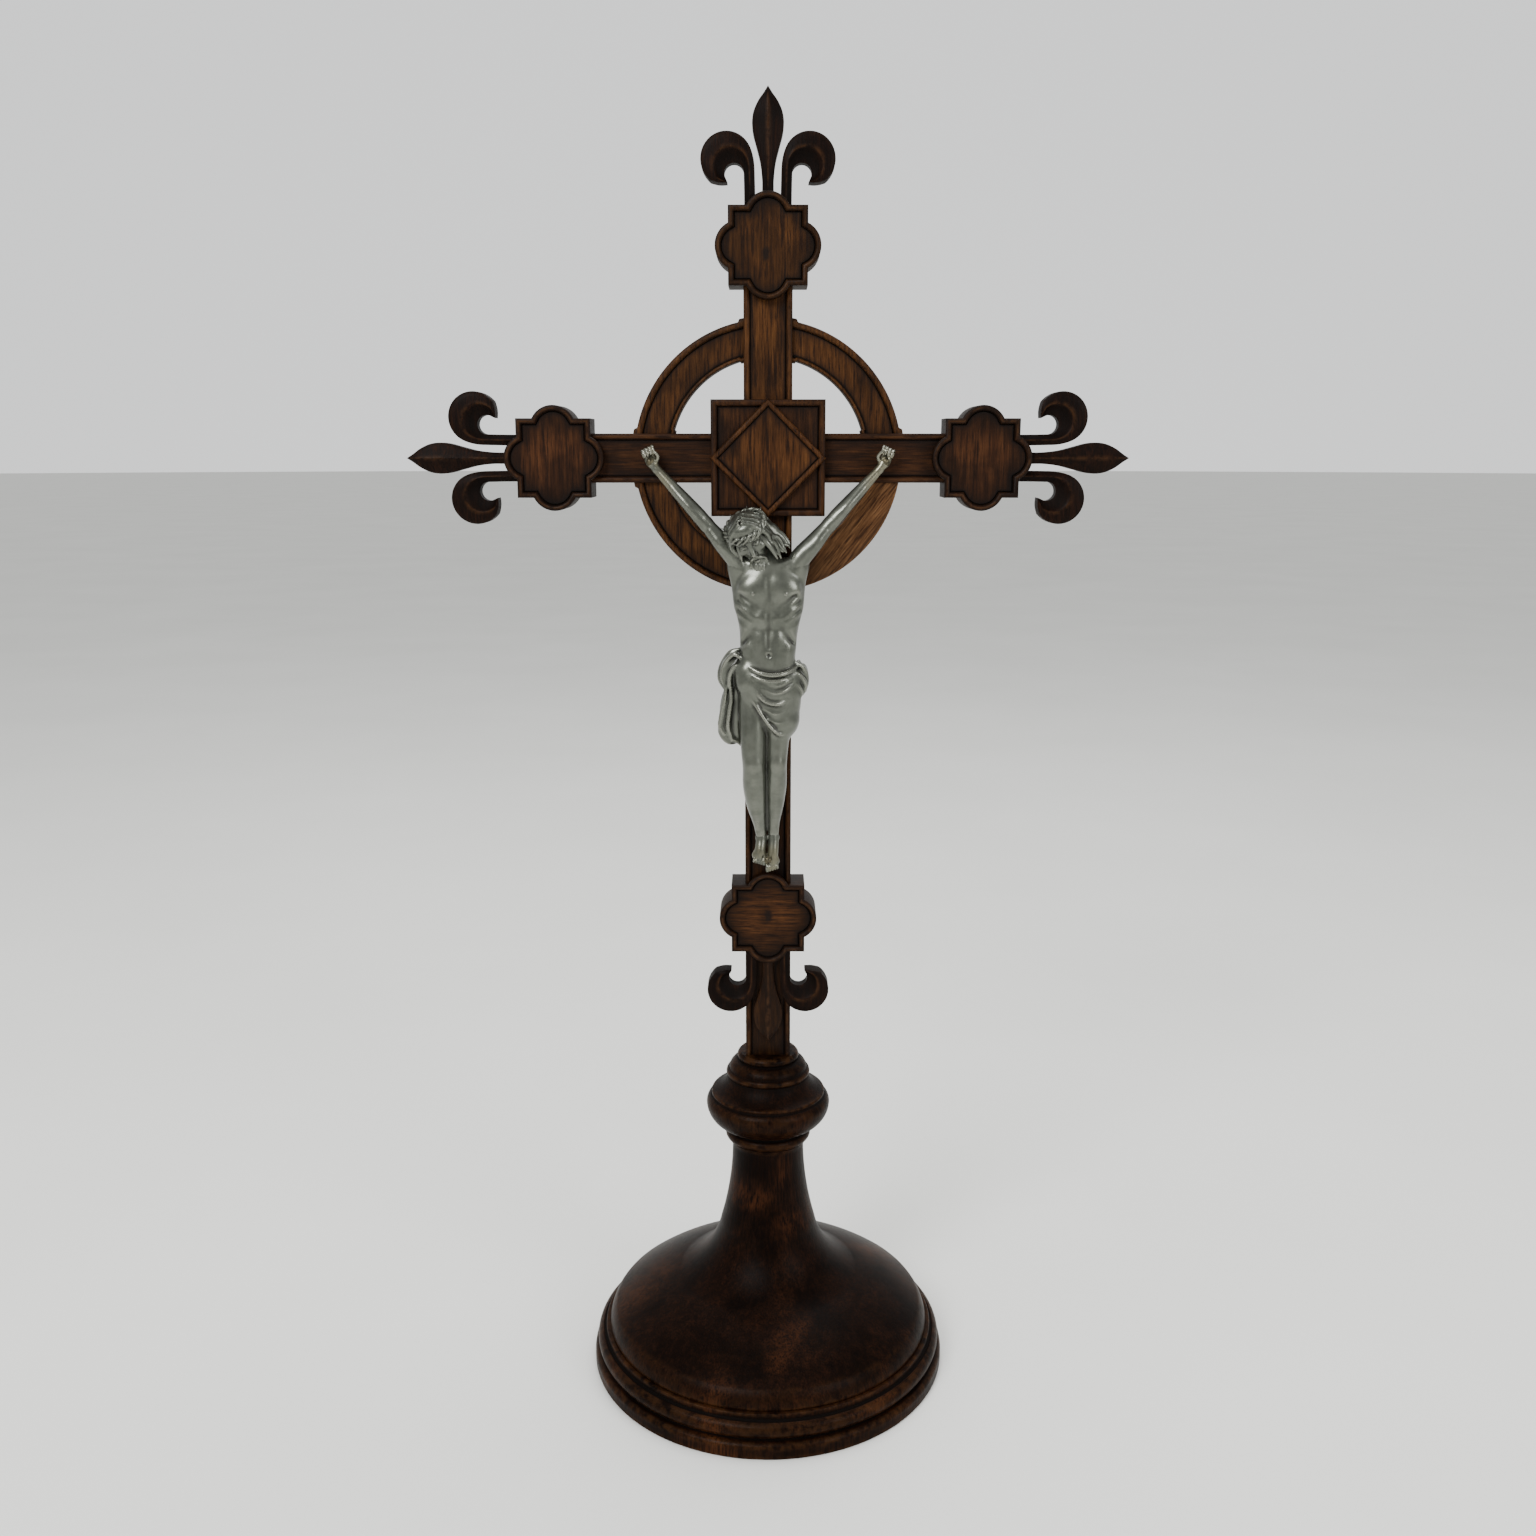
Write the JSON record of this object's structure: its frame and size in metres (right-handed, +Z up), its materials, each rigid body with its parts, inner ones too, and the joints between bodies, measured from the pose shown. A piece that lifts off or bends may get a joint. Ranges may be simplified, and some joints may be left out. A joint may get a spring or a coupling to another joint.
{
  "type": "standing altar cross",
  "caption": "Free-standing dark wood altar cross with a ring, quatrefoil blocks, fleur-de-lis ends, a turned foot and a cast metal corpus.",
  "frame": {"origin": "centre of the plinth's underside, on the surface that the cross stands on", "axes": "+Z up the shaft, +X to the right of someone who faces the front, +Y to the back"},
  "size_m": [0.3314, 0.1812, 0.6187],
  "materials": {
    "dark_wood": "dark stained carved wood with old wax, worn lighter on the fields",
    "worn_wood": "stained wood rubbed to a warm brown",
    "pale_wood": "plainer, lighter replacement wood, waxed",
    "turned_wood": "dark polished turned wood with red-brown patches",
    "pewter": "dull grey pewter with darker recesses and rubbed high points",
    "nail_metal": "small dull brassy nails",
    "steel": "plain steel wood screws"
  },
  "bodies": {
    "root": {"upright_shaft": "dark_wood", "crossbar": "dark_wood", "centre_tablet": "dark_wood", "quatrefoil_top": "dark_wood", "quatrefoil_right": "dark_wood", "quatrefoil_bottom": "dark_wood", "quatrefoil_left": "dark_wood", "spear_top": "dark_wood", "spear_right": "dark_wood", "spear_bottom": "dark_wood", "spear_left": "dark_wood", "curl_top_first": "dark_wood", "curl_top_second": "dark_wood", "curl_right_first": "dark_wood", "curl_right_second": "dark_wood", "curl_bottom_first": "dark_wood", "curl_bottom_second": "dark_wood", "curl_left_first": "dark_wood", "curl_left_second": "dark_wood", "ring_upper_right": "dark_wood", "ring_lower_left": "dark_wood", "ring_upper_left": "dark_wood", "centre_lozenge": "worn_wood", "ring_lower_right": "pale_wood", "knop": "turned_wood", "flared_foot": "turned_wood", "moulded_plinth": "turned_wood", "corpus_body": "pewter", "corpus_arm_left": "pewter", "corpus_arm_right": "pewter", "hand_nail_left": "nail_metal", "hand_nail_right": "nail_metal", "foot_nail": "nail_metal", "plinth_screws": "steel"}
  },
  "joints": []
}
